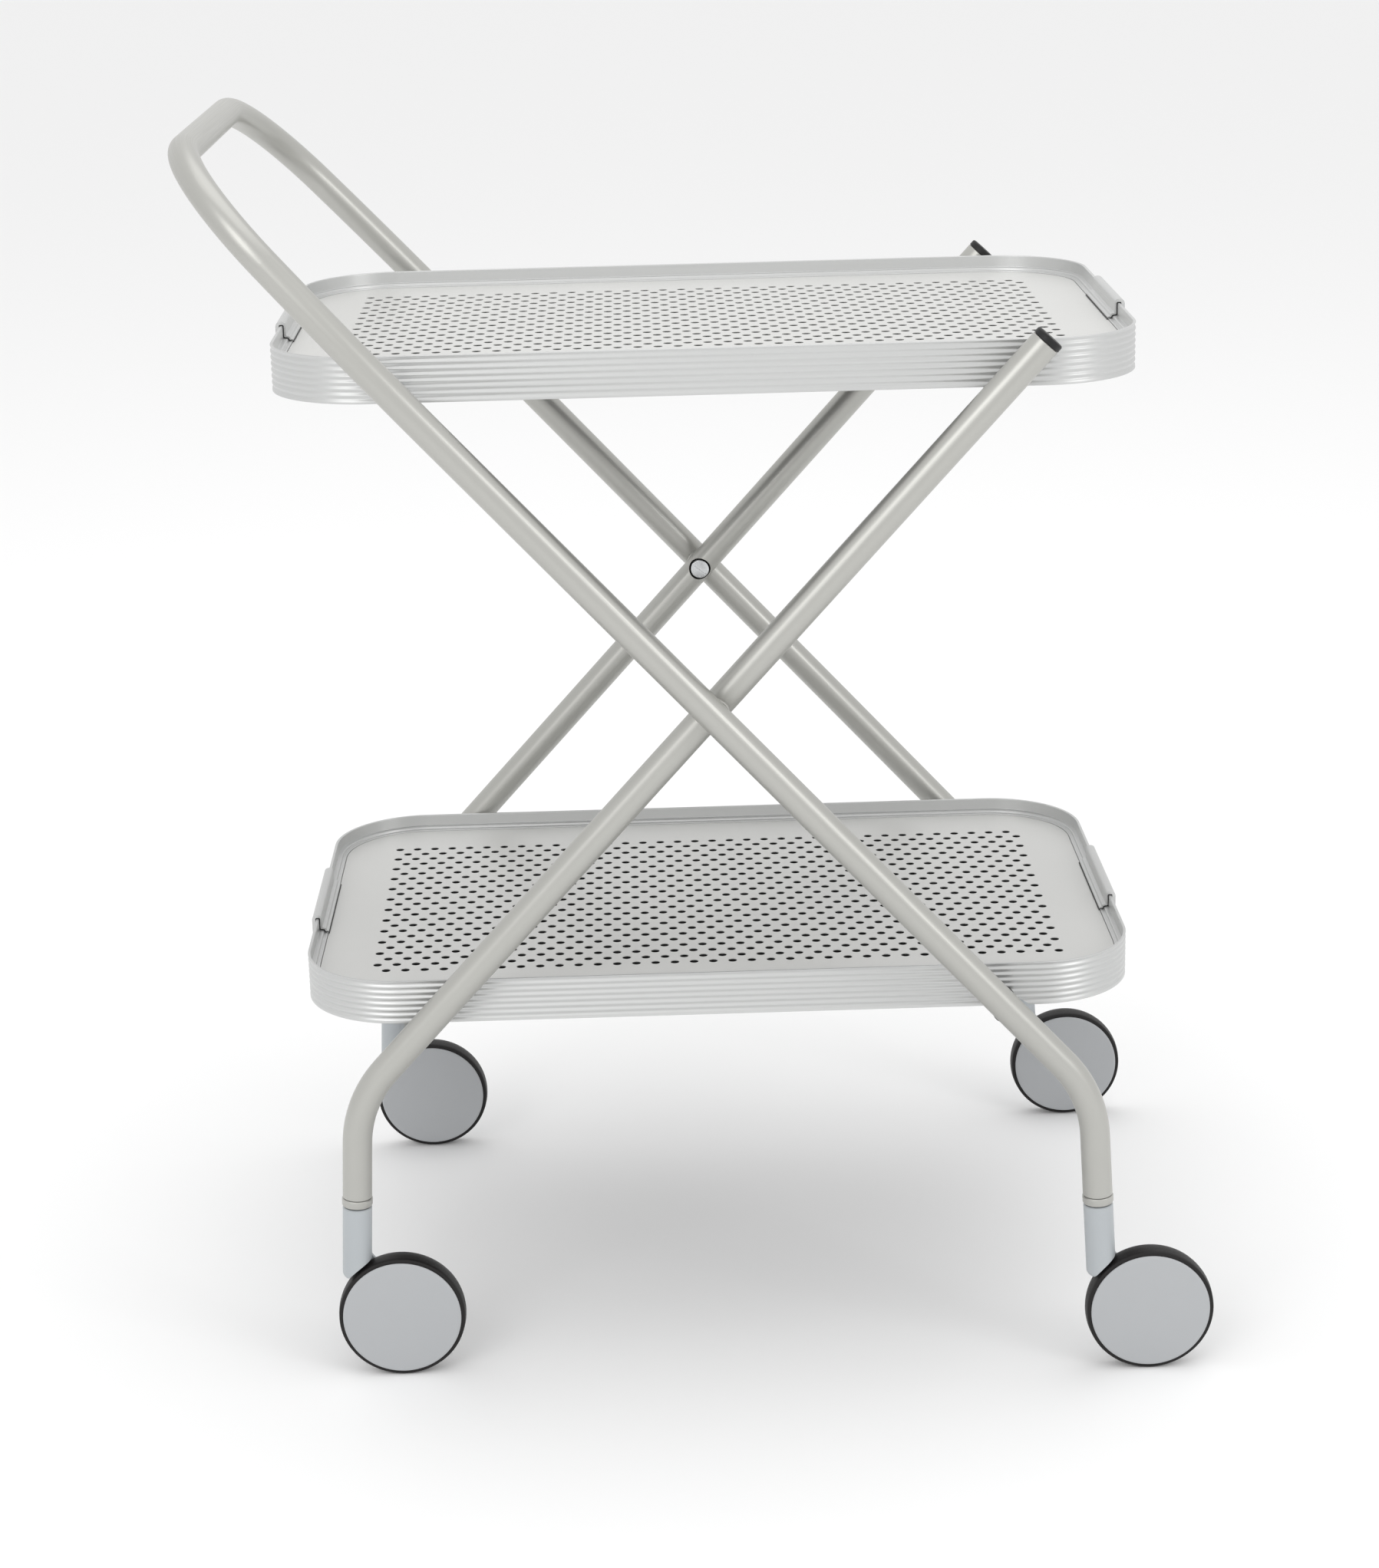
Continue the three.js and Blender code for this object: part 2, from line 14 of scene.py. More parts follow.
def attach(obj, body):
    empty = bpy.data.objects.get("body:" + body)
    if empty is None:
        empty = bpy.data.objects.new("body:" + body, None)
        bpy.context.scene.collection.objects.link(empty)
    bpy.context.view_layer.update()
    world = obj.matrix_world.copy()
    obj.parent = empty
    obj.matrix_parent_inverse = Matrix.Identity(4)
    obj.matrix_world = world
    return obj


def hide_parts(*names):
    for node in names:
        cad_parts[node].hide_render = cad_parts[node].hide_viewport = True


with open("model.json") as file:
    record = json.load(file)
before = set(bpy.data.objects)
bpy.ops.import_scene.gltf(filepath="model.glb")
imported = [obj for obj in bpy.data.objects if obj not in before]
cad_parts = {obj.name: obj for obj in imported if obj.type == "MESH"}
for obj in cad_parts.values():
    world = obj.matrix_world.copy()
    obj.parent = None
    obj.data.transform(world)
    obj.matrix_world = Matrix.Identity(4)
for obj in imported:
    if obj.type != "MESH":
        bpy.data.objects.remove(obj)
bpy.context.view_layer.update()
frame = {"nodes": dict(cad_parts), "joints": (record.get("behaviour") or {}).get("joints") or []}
FOLD_AT = Vector(next(j["pos_m"] for j in frame["joints"] if j["name"] == "fold"))
MM = 0.001
X, Y, Z = Vector((1, 0, 0)), Vector((0, 1, 0)), Vector((0, 0, 1))
SMOOTH_ANGLE = 32               # degrees: edges bent more than this stay sharp
SHEET_SMOOTH_ANGLE = 40         # the same for the trays' rims and decks

# ------------------------------------------------------------------ dimensions, mm
GAP = 0.3                       # between parts that fit together

# Frames
TUBE_R = 9.0
TUBE_WALL = 1.5
TUBE_SIDES = 48
TUBE_EDGE = 0.35                # chamfer round a tube's cut end
TUBE_INSERT_R = 6.9             # of what is pushed into a tube's end
BEND_STEP = math.radians(3)     # between stations round a bend
FRAME_ANGLE = math.radians(47.45)
OUTER_Y = 199.0                 # of the outer frame's legs, each side of the middle
INNER_Y = 176.3
PIVOT_HEIGHT = 422.3
LEG_CORNER_X = 222.0            # where the lines of a diagonal and its leg meet
LEG_SPLAY = math.radians(3.1)
LEG_BEND_R = 75.0
LEAN_FROM = 297.9               # up the slope, to where the handle's sides turn inwards
LEAN = math.radians(8.63)
LEAN_R = 880.0
HANDLE_REACH = 437.8            # up the slope, to the handle's crossbar
HANDLE_CORNER_R = 88.0
HANDLE_Y = OUTER_Y - (HANDLE_REACH - LEAN_FROM) * math.tan(LEAN)
INNER_TUBE_TOP = 284.7          # up the slope
PLUG_THICK = 4.3
PLUG_DEPTH = 14
PLUG_CROWN_R = 4.0              # of the flat middle of a plug's top

# Fold pivots: distances along a bolt are from the middle of the tube named
BOLT_HOLE_R = 7.4               # in the inner tube's inner face
BARREL_R = 6.2
BARREL_FACE = 8.7               # inner tube
BARREL_END = 3                  # inner tube
SHANK_R = 3.5
NUT_R = 4.5
NUT_FROM = 5                    # outer tube
NUT_TO = 1.5                    # outer tube
SLOT_HALF_LENGTH = 5
SLOT_HALF_WIDTH = 0.6
SLOT_DEPTH = 0.8
SLOT_TURN = math.radians(38)
WASHER_R = 8.5
WASHER_HOLE_R = 3.9
WASHER_EDGE = 0.6

# Rods under the trays, and the sleeves on the outer frame's lower rod
ROD_R = 3.5
ROD_HOLE_R = 3.9
ROD_CHAMFER = 0.4
ROD_END_INSET = 4.5             # from the middle of the tube that holds the rod
ROD_DROP = {"upper": 1.0, "lower": 3.8}     # of the outer frame's rods, below its tube's line
OUTER_ROD_HEIGHT = 5.8          # above the tray's lower edge
SLEEVE_R = 7.8
SLEEVE_EDGE = 0.5
SLEEVE_TUBE_GAP = 1.2
SLEEVE_TRAY_GAP = 0.6

# Trays
TRAY_LENGTH = 508.0
TRAY_WIDTH = 329.0
TRAY_CORNER_R = 60.0
TRAY_HEIGHT = 27.2
TRAY_TOPS = {"upper": 210.0, "lower": -169.6}
LOWER_DRAW_ANGLE = math.radians(30)
NOTCH_REACH = 26                # of the cut that leads a rod into the rim
NOTCH_OVERCUT = 5               # past the tray's sides
RIM_WALL = 1.8
RIM_FOOT = 2.0                  # thickness of the wall's lower part
RIM_SHELF = 9.5                 # reach of the shelf that carries the deck
RIM_SHELF_THICK = 1.5
RIB_PITCH = 3.67
RIB_DEPTH = 0.75
RIB_STEPS = 8                   # points down each rib
TOP_CREST = 23.3                # height of the highest rib's crest
LOWEST_RIB_POINT = 1.3
DECK_DEPTH = 10.0
DECK_THICK = 1.5
DECK_INSET = 7.4
DECK_TOP = TRAY_HEIGHT - DECK_DEPTH
DECK_BOTTOM = DECK_TOP - DECK_THICK
SHEET_THICK = 0.4               # of the sheet with the holes
BACKING_THICK = 0.7             # of the dark sheet under it
BACKING_GAP = 0.05
HOLE_ROWS = 24
HOLE_ROW_PITCH = 10.25
HOLES_PER_ROW = 36
HOLE_PITCH = 11.9
HOLE_STAGGER = 2.975            # each row's shift, to alternate sides
HOLE_R = 2.75
HOLE_SIDES = 16
GRIP_LENGTH = 94.0
SHADE_LINE_EXTRA = 0.6               # the painted shade line's length beyond the grip
SHADE_LINE_HALF_THICK = 0.15

# Castors: heights are from the leg's end, up the leg
TRAIL = 28.2                    # the axle, to the side of the leg's line
DROP = 77.2                     # the axle, below the leg's end
WHEEL_R = 39.3
WHEEL_Z = WHEEL_R - PIVOT_HEIGHT
WHEEL_SIDES = 96
COLLAR_R = 9.4
COLLAR_HEIGHT = 5.3
COLLAR_INSERT = 24              # how far the collar's shank goes up the leg
HOOD_R = 9.0
HOOD_TOP = -6.3
HOOD_BOTTOM = -54.0
HOOD_ROUND = 4.0
HOOD_EDGE = 0.6
HOOD_ROUND_STEPS = 8
CLEAR_R = 41.3                  # of the room cut for the wheel
CLEAR_FROM = -14                # along the axle, up to the arm's face
ARM_FROM = 5.3                  # the arm's two faces, along the axle
ARM_TO = 9.0
ARM_EDGE = 0.9
ARM_HOOD_END = (0.5, -44.0, 7.5)            # (trail, height, radius)
ARM_AXLE_END = (TRAIL, -DROP, 9.0)
ARM_ARC_STEPS = 16
STEM_R = 4.0
STEM_CLEARANCE = 0.4
STEM_DEPTH = 15                 # of the stem inside the hood, below its top
STEM_RISE = 20                  # of the stem above the hood
STEM_EDGE = 0.7
SHOULDER_R = 6.6                # of the washer on the stem, over the hood
SHOULDER_THICK = 0.4
AXLE_R = 3.0
AXLE_CLEARANCE = 0.3
HUB_RIBS = 8
HUB_RIB_FROM = 11.8             # the ribs' ends, from the axle
HUB_RIB_TO = 31.4
HUB_RIB_HALF_WIDTH = 0.9
HUB_RIB_FACES = (0.5, 3.4)      # along the axle

# Turned outlines of the wheels, as (radius, along the axle) with the disc's face negative
TREAD = ((34.6, -8), (37.9, -8), (38.5, -7.8), (38.85, -7.2), (39.0, -5.6), (39.2, -3.6),
         (39.3, -1.6), (39.2, 0.5), (38.9, 2.5), (38.55, 4.0), (38.1, 4.65), (37.4, 4.9),
         (34.6, 4.9))
DISC = ((0, -9.35), (34.6, -9.3), (35.5, -9.2), (36.15, -8.95), (36.4, -8.6), (36.4, -8.3),
        (30.6, -8.3), (30.6, -4.3), (29, -4.3), (29, -8.3), (0, -8.3))
HUB = ((3.4, -4), (31, -4), (31, -7.4), (34.2, -7.4), (34.2, 4.0), (33.8, 4.4), (31.6, 4.4),
       (31.2, 4.0), (31.2, 1.6), (30.6, 1.0), (13.5, 1.0), (12.9, 1.4), (11.5, 4.2),
       (11.0, 4.4), (3.4, 4.4))
AXLE = ((0, -6.6), (5.6, -6.6), (5.6, -4.4), (AXLE_R, -4.4), (AXLE_R, 8.9), (2.7, 9.2), (0, 9.2))

SIDES = {"front": -1, "rear": 1}
ENDS = {"left": -1, "right": 1}
CORNERS = {
    "front_left": (-1, -INNER_Y), "rear_left": (-1, INNER_Y),
    "front_right": (1, -OUTER_Y), "rear_right": (1, OUTER_Y),
}

# ------------------------------------------------------------------ materials
DRIFT_SCALE = 14.0              # of the slow change of tone
DRIFT_DETAIL = 3.0
FINE_DETAIL = 2.0
NOISE_LOW = 0.3                 # the part of a noise's range that is used
NOISE_HIGH = 0.7
ROUGHNESS_DRIFT = 0.08
RELIEF_HEIGHT = 0.0002          # metres, at full bump


def material(name, color, roughness, variation, bump, metallic=0.0, specular=0.5, grain=None,
             speckle=None):
    """A finish whose tone and gloss drift slightly over the surface. grain is the noise scale in
    each direction for drawn or brushed lines, and speckle is the scale of a fine moulded texture."""
    made = bpy.data.materials.new(name)
    made.use_nodes = True
    nodes, links = made.node_tree.nodes, made.node_tree.links
    shader = nodes["Principled BSDF"]
    shader.inputs["Metallic"].default_value = metallic
    shader.inputs["Specular IOR Level"].default_value = specular
    place = nodes.new("ShaderNodeTexCoord")

    def noise(scale, detail, stretch=None):
        """Noise over the object, or stretched over the piece's UVs."""
        texture = nodes.new("ShaderNodeTexNoise")
        texture.inputs["Scale"].default_value = scale
        texture.inputs["Detail"].default_value = detail
        if stretch:
            mapping = nodes.new("ShaderNodeMapping")
            mapping.inputs["Scale"].default_value = stretch
            links.new(place.outputs["UV"], mapping.inputs["Vector"])
            links.new(mapping.outputs["Vector"], texture.inputs["Vector"])
        else:
            links.new(place.outputs["Object"], texture.inputs["Vector"])
        return texture.outputs["Fac"]

    def spread(source, low, high):
        turn = nodes.new("ShaderNodeMapRange")
        turn.inputs["From Min"].default_value = NOISE_LOW
        turn.inputs["From Max"].default_value = NOISE_HIGH
        turn.inputs["To Min"].default_value = low
        turn.inputs["To Max"].default_value = high
        links.new(source, turn.inputs["Value"])
        return turn.outputs["Result"]

    drift = noise(DRIFT_SCALE, DRIFT_DETAIL)
    fine = noise(1.0, FINE_DETAIL, grain) if grain else noise(speckle, FINE_DETAIL)

    # Colour follows the average of the slow and the fine noise.
    half_drift = nodes.new("ShaderNodeMath")
    half_drift.operation = "MULTIPLY"
    half_drift.inputs[1].default_value = 0.5
    links.new(drift, half_drift.inputs[0])
    average = nodes.new("ShaderNodeMath")
    average.operation = "MULTIPLY_ADD"
    average.inputs[1].default_value = 0.5
    links.new(fine, average.inputs[0])
    links.new(half_drift.outputs[0], average.inputs[2])
    mix = nodes.new("ShaderNodeMix")
    mix.data_type = "RGBA"
    mix.inputs["A"].default_value = [c * (1 - variation) for c in color] + [1]
    mix.inputs["B"].default_value = [min(1, c * (1 + variation)) for c in color] + [1]
    links.new(spread(average.outputs[0], 0, 1), mix.inputs["Factor"])
    links.new(mix.outputs["Result"], shader.inputs["Base Color"])

    # Gloss and relief follow the fine noise alone.
    links.new(spread(fine, roughness - ROUGHNESS_DRIFT, roughness + ROUGHNESS_DRIFT),
              shader.inputs["Roughness"])
    relief = nodes.new("ShaderNodeBump")
    relief.inputs["Strength"].default_value = bump
    relief.inputs["Distance"].default_value = RELIEF_HEIGHT
    links.new(fine, relief.inputs["Height"])
    links.new(relief.outputs["Normal"], shader.inputs["Normal"])
    return made


ALONG = (9.0, 2600.0, 1.0)      # drawn lines run along a swept piece
FINISHES = {
    "frame_tube": material("satin_tube", (0.445, 0.443, 0.418), 0.36, variation=0.015,
                           bump=0.03, metallic=0.6, grain=ALONG),
    "tray_rim": material("extruded_rim", (0.56, 0.565, 0.56), 0.36, variation=0.008,
                         bump=0.015, metallic=0.6, grain=ALONG),
    "tray_deck": material("perforated_sheet", (0.64, 0.64, 0.625), 0.42, variation=0.015,
                          bump=0.05, metallic=0.35, speckle=1400.0),
    "steel": material("zinc_plate", (0.62, 0.63, 0.64), 0.30, variation=0.08,
                      bump=0.10, metallic=0.9, speckle=420.0),
    "castor_plastic": material("moulded_grey", (0.405, 0.43, 0.447), 0.45, variation=0.02,
                               bump=0.10, speckle=2200.0),
    "wheel_disc": material("disc_grey", (0.405, 0.416, 0.428), 0.42, variation=0.015,
                           bump=0.06, specular=0.4, speckle=2600.0),
    "tyre": material("tyre_rubber", (0.010, 0.009, 0.009), 0.50, variation=0.2,
                     bump=0.15, specular=0.3, speckle=1500.0),
    "black_plastic": material("black_plastic", (0.012, 0.012, 0.012), 0.45, variation=0.2,
                              bump=0.3, specular=0.3, speckle=900.0),
}
# The dark sheet under each deck; the same finish is also painted shade on the holes' sides.
BACKING_AND_HOLE_SHADE = material("dark_backing_and_hole_shade", (0.012, 0.012, 0.012), 0.9, variation=0.1, bump=0.1,
                   specular=0.0, speckle=900.0)


# ------------------------------------------------------------------ mesh building
BOX_FACES = ((0, 1, 2, 3), (7, 6, 5, 4), (0, 4, 5, 1), (1, 5, 6, 2), (2, 6, 7, 3), (3, 7, 4, 0))


def add_object(name, data):
    made = bpy.data.objects.new(name, data)
    bpy.context.scene.collection.objects.link(made)
    return made


def soften(piece, sharp):
    piece.data.polygons.foreach_set("use_smooth", [True] * len(piece.data.polygons))
    piece.data.set_sharp_from_angle(angle=math.radians(sharp))


def register(piece, body, stands_for):
    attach(piece, body)
    if stands_for:
        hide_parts(*stands_for)


def make_piece(name, part, finish, body, stands_for=(), sharp=SMOOTH_ANGLE):
    """One object from a part: points in mm about the fold axis, faces, and uvs in mm per face."""
    points, faces, uvs = part
    mesh = bpy.data.meshes.new(name)
    mesh.from_pydata([FOLD_AT + p * MM for p in points], [], faces)
    layer = mesh.uv_layers.new(name="UVMap")
    layer.data.foreach_set("uv", [c * MM for face in uvs for uv in face for c in uv])
    piece = add_object(name, mesh)
    mesh.materials.append(FINISHES[finish])
    soften(piece, sharp)
    register(piece, body, stands_for)
    return piece


def evaluated_mesh(item):
    """The item's mesh with its modifiers or curve settings applied."""
    bpy.context.view_layer.update()
    graph = bpy.context.evaluated_depsgraph_get()
    return bpy.data.meshes.new_from_object(item.evaluated_get(graph))


def carve(piece, tools, operation="DIFFERENCE", sharp=SMOOTH_ANGLE):
    """Cuts closed parts out of a piece, or joins them to it."""
    helpers = []
    for points, faces, _ in tools:
        mesh = bpy.data.meshes.new("tool")
        mesh.from_pydata([FOLD_AT + p * MM for p in points], [], faces)
        helper = add_object("tool", mesh)
        helpers.append(helper)
        modifier = piece.modifiers.new("cut", "BOOLEAN")
        modifier.operation = operation
        modifier.solver = "EXACT"
        modifier.object = helper
    mesh = evaluated_mesh(piece)
    piece.modifiers.clear()
    piece.data = mesh
    for helper in helpers:
        bpy.data.objects.remove(helper)
    soften(piece, sharp)


def outward(part):
    """The part with its faces turned outwards."""
    points, faces, uvs = part
    total = 0.0
    for face in faces:
        for a, b in zip(face[1:], face[2:]):
            total += points[face[0]].dot(points[a].cross(points[b]))
    if total < 0:
        faces = [face[::-1] for face in faces]
        uvs = [uv[::-1] for uv in uvs]
    return points, faces, uvs


def lattice(rings, closed=False):
    """A skin over rings of equally many points. closed joins the last ring to the first, and an
    open skin's ends are capped."""
    width, count = len(rings[0]), len(rings)
    points = [p for ring in rings for p in ring]
    along = [0.0]
    for i in range(count):
        along.append(along[-1] + (rings[(i + 1) % count][0] - rings[i][0]).length)
    around = [0.0]
    for j in range(width):
        around.append(around[-1] + (rings[0][(j + 1) % width] - rings[0][j]).length)
    faces, uvs = [], []
    for i in range(count if closed else count - 1):
        k = (i + 1) % count
        for j in range(width):
            m = (j + 1) % width
            faces.append([i * width + j, k * width + j, k * width + m, i * width + m])
            uvs.append([(along[i], around[j]), (along[i + 1], around[j]),
                        (along[i + 1], around[j + 1]), (along[i], around[j + 1])])
    if not closed:
        last = (count - 1) * width
        faces.append(list(range(width)))
        faces.append([last + j for j in reversed(range(width))])
        uvs.append([(0, around[j]) for j in range(width)])
        uvs.append([(along[count - 1], around[j]) for j in reversed(range(width))])
    return outward((points, faces, uvs))


def perpendicular(direction):
    return direction.cross(X if abs(direction.x) < 0.9 else Y).normalized()


def circle_angles(count):
    return [2 * math.pi * k / count for k in range(count)]


def turned(profile, sides=48, origin=Vector(), axis=Y):
    """A turned solid from (radius, along) points. A profile that starts on the axis is solid and
    capped, and any other is a ring that closes on itself."""
    u = perpendicular(axis)
    v = axis.cross(u)
    rings = [[origin + axis * along + (u * math.cos(a) + v * math.sin(a)) * radius
              for a in circle_angles(sides)] for radius, along in profile if radius]
    return lattice(rings, closed=profile[0][0] != 0)


def mirrored(profile, sign):
    """A turned profile that faces the other way along its axis where sign is negative."""
    return [(radius, sign * along) for radius, along in profile]


def bar(radius, y_from, y_to, at=Vector(), sides=32, chamfer=0.0):
    """A round bar along Y."""
    low, high = sorted((y_from, y_to))
    profile = [(0, low), (radius - chamfer, low)]
    if chamfer:
        profile += [(radius, low + chamfer), (radius, high - chamfer)]
    profile += [(radius - chamfer, high), (0, high)]
    return turned(profile, sides, at)


def prism(corners, near, far):
    """A four-sided bar along Y, whose corners start from near and end at far."""
    return outward(([p + Y * y for y in (near, far) for p in corners], BOX_FACES, []))


def rounded_route(corners):
    """Stations (point, direction) along straight lines with round bends. corners are
    (point, bend radius)."""
    stations = [(corners[0][0], (corners[1][0] - corners[0][0]).normalized())]
    for (before, _), (at, radius), (after, _) in zip(corners, corners[1:], corners[2:]):
        enter, leave = (at - before).normalized(), (after - at).normalized()
        turn = enter.angle(leave)
        start = at - enter * radius * math.tan(turn / 2)
        inward = (leave - enter * math.cos(turn)).normalized()
        steps = max(6, math.ceil(turn / BEND_STEP))
        for k in range(steps + 1):
            a = turn * k / steps
            stations.append((start + enter * radius * math.sin(a)
                             + inward * radius * (1 - math.cos(a)),
                             enter * math.cos(a) + inward * math.sin(a)))
    last = corners[-1][0]
    stations.append((last, (last - corners[-2][0]).normalized()))
    return stations


def hollow_tube(corners):
    """A bent tube with open, slightly chamfered ends, as one closed skin that runs out along the
    outside and back along the bore."""
    stations = rounded_route(corners)
    last = len(stations) - 1
    rings, bore = [], []
    normal = perpendicular(stations[0][1])
    for i, (point, tangent) in enumerate(stations):
        if i:
            normal = stations[i - 1][1].rotation_difference(tangent) @ normal
        side = tangent.cross(normal)
        spokes = [normal * math.cos(a) + side * math.sin(a) for a in circle_angles(TUBE_SIDES)]
        cut_ring = [point + s * (TUBE_R - TUBE_EDGE) for s in spokes]
        if i == 0:
            rings += [cut_ring, [point + tangent * TUBE_EDGE + s * TUBE_R for s in spokes]]
        elif i == last:
            rings += [[point - tangent * TUBE_EDGE + s * TUBE_R for s in spokes], cut_ring]
        else:
            rings.append([point + s * TUBE_R for s in spokes])
        bore.append([point + s * (TUBE_R - TUBE_WALL) for s in spokes])
    return lattice(rings + bore[::-1], closed=True)


# ------------------------------------------------------------------ frames
def leg_corner(side):
    return Vector((side * LEG_CORNER_X, 0, -LEG_CORNER_X * math.tan(FRAME_ANGLE)))


def leg_down(side):
    return Vector((side * math.sin(LEG_SPLAY), 0, -math.cos(LEG_SPLAY)))


def leg_end(side):
    """Where a leg has to end for its castor's wheel to stand on the floor."""
    corner = leg_corner(side)
    end_z = WHEEL_Z + DROP * math.cos(LEG_SPLAY) - side * TRAIL * math.sin(LEG_SPLAY)
    return corner + leg_down(side) * ((corner.z - end_z) / math.cos(LEG_SPLAY))


def at_y(point, y):
    return Vector((point.x, y, point.z))


def on_outer(reach, y):
    """A point on the outer frame's slope, reach above the fold axis."""
    return Vector((-reach * math.cos(FRAME_ANGLE), y, reach * math.sin(FRAME_ANGLE)))


def outer_half(sign):
    """The outer frame's route from one leg's end to the handle."""
    return [
        (at_y(leg_end(1), sign * OUTER_Y), 0),
        (at_y(leg_corner(1), sign * OUTER_Y), LEG_BEND_R),
        (on_outer(LEAN_FROM, sign * OUTER_Y), LEAN_R),
        (on_outer(HANDLE_REACH, sign * HANDLE_Y), HANDLE_CORNER_R),
    ]


def rod_spots(tray):
    """The centres of a tray's two rods: (outer frame's, inner frame's)."""
    bottom = TRAY_TOPS[tray] - TRAY_HEIGHT
    outer_z = bottom + OUTER_ROD_HEIGHT
    inner_z = bottom - ROD_R - GAP
    slope = math.tan(FRAME_ANGLE)
    outer_x = -outer_z / slope - ROD_DROP[tray] / math.sin(FRAME_ANGLE)
    return Vector((outer_x, 0, outer_z)), Vector((inner_z / slope, 0, inner_z))


def make_inner_tube(side_name, sign):
    """One tube of the inner frame, with the bolt's hole in its inner face, and its end plug."""
    y = sign * INNER_Y
    slope_up = Vector((math.cos(FRAME_ANGLE), 0, math.sin(FRAME_ANGLE)))
    top = at_y(slope_up * INNER_TUBE_TOP, y)
    route = [(at_y(leg_end(-1), y), 0), (at_y(leg_corner(-1), y), LEG_BEND_R), (top, 0)]
    tube = make_piece(f"inner_tube_{side_name}", hollow_tube(route), "frame_tube", "inner_frame",
                      [f"inner_frame_tube_{side_name}"])
    carve(tube, [bar(BOLT_HOLE_R, sign * (INNER_Y - TUBE_R - 1), sign * (INNER_Y - 1))])
    plug = [(0, -PLUG_DEPTH), (TUBE_INSERT_R, -PLUG_DEPTH), (TUBE_INSERT_R, GAP),
            (TUBE_R, GAP), (TUBE_R, PLUG_THICK - 1.2), (8.8, PLUG_THICK - 0.6),
            (8.3, PLUG_THICK - 0.15), (7.6, PLUG_THICK), (PLUG_CROWN_R, PLUG_THICK),
            (0, PLUG_THICK)]
    make_piece(f"plug_{side_name}", turned(plug, 48, top, slope_up), "black_plastic",
               "inner_frame", [f"end_plug_{side_name}"])


def make_pivot(side_name, sign):
    """A bolt with a wide slotted barrel in the inner tube, a shank and a nut, and its spacer."""
    face, barrel_end = INNER_Y - BARREL_FACE, INNER_Y + BARREL_END
    nut_from, nut_to = OUTER_Y - NUT_FROM, OUTER_Y - NUT_TO
    profile = [(0, face), (BARREL_R - 0.6, face), (BARREL_R - 0.2, face + 0.15),
               (BARREL_R, face + 0.6), (BARREL_R, barrel_end), (SHANK_R, barrel_end),
               (SHANK_R, nut_from), (NUT_R, nut_from), (NUT_R, nut_to), (0, nut_to)]
    bolt = make_piece(f"pivot_{side_name}", turned(mirrored(profile, sign), 40), "steel",
                      "outer_frame", [f"pivot_bolt_{side_name}"])
    turn = Matrix.Rotation(SLOT_TURN, 3, "Y")
    slot = [turn @ Vector((x, 0, z)) for x, z in (
        (-SLOT_HALF_LENGTH, -SLOT_HALF_WIDTH), (SLOT_HALF_LENGTH, -SLOT_HALF_WIDTH),
        (SLOT_HALF_LENGTH, SLOT_HALF_WIDTH), (-SLOT_HALF_LENGTH, SLOT_HALF_WIDTH))]
    carve(bolt, [prism(slot, sign * (face - 1), sign * (face + SLOT_DEPTH))])
    near, far = INNER_Y + TUBE_R + GAP, OUTER_Y - TUBE_R - GAP
    washer = [(WASHER_HOLE_R, near), (WASHER_R - WASHER_EDGE, near),
              (WASHER_R, near + WASHER_EDGE), (WASHER_R, far - WASHER_EDGE),
              (WASHER_R - WASHER_EDGE, far), (WASHER_HOLE_R, far)]
    make_piece(f"pivot_washer_{side_name}", turned(mirrored(washer, sign)), "frame_tube",
               "outer_frame", [f"pivot_spacer_{side_name}"])


def make_rods(tray):
    for frame_name, middle_y, spot in zip(("outer", "inner"), (OUTER_Y, INNER_Y), rod_spots(tray)):
        end = middle_y - ROD_END_INSET
        make_piece(f"{frame_name}_rod_{tray}", bar(ROD_R, -end, end, spot, chamfer=ROD_CHAMFER),
                   "steel", f"{frame_name}_frame", [f"{frame_name}_frame_rod_{tray}"])


def make_rod_sleeve(side_name, sign):
    near, far = TRAY_WIDTH / 2 + SLEEVE_TRAY_GAP, OUTER_Y - TUBE_R - SLEEVE_TUBE_GAP
    profile = [(ROD_HOLE_R, near), (SLEEVE_R - SLEEVE_EDGE, near), (SLEEVE_R, near + SLEEVE_EDGE),
               (SLEEVE_R, far - SLEEVE_EDGE), (SLEEVE_R - SLEEVE_EDGE, far), (ROD_HOLE_R, far)]
    make_piece(f"rod_sleeve_{side_name}",
               turned(mirrored(profile, sign), 40, rod_spots("lower")[0]), "black_plastic",
               "outer_frame", [f"rod_sleeve_lower_{side_name}"])


make_piece("outer_tube", hollow_tube(outer_half(-1) + outer_half(1)[::-1]), "frame_tube",
           "outer_frame", ["outer_frame_tube"])
for side_name, sign in SIDES.items():
    make_inner_tube(side_name, sign)
    make_pivot(side_name, sign)
for tray_name in TRAY_TOPS:
    make_rods(tray_name)
for side_name, sign in SIDES.items():
    make_rod_sleeve(side_name, sign)


# ------------------------------------------------------------------ trays
def tray_outline(inset, quarter_steps=18):
    """Points (x, y) round a tray, moved in by inset."""
    points = []
    radius = TRAY_CORNER_R - inset
    cx, cy = TRAY_LENGTH / 2 - TRAY_CORNER_R, TRAY_WIDTH / 2 - TRAY_CORNER_R
    for quarter, (x, y) in enumerate(((cx, cy), (-cx, cy), (-cx, -cy), (cx, -cy))):
        for k in range(quarter_steps + 1):
            a = math.pi / 2 * (quarter + k / quarter_steps)
            points.append((x + math.cos(a) * radius, y + math.sin(a) * radius))
    return points


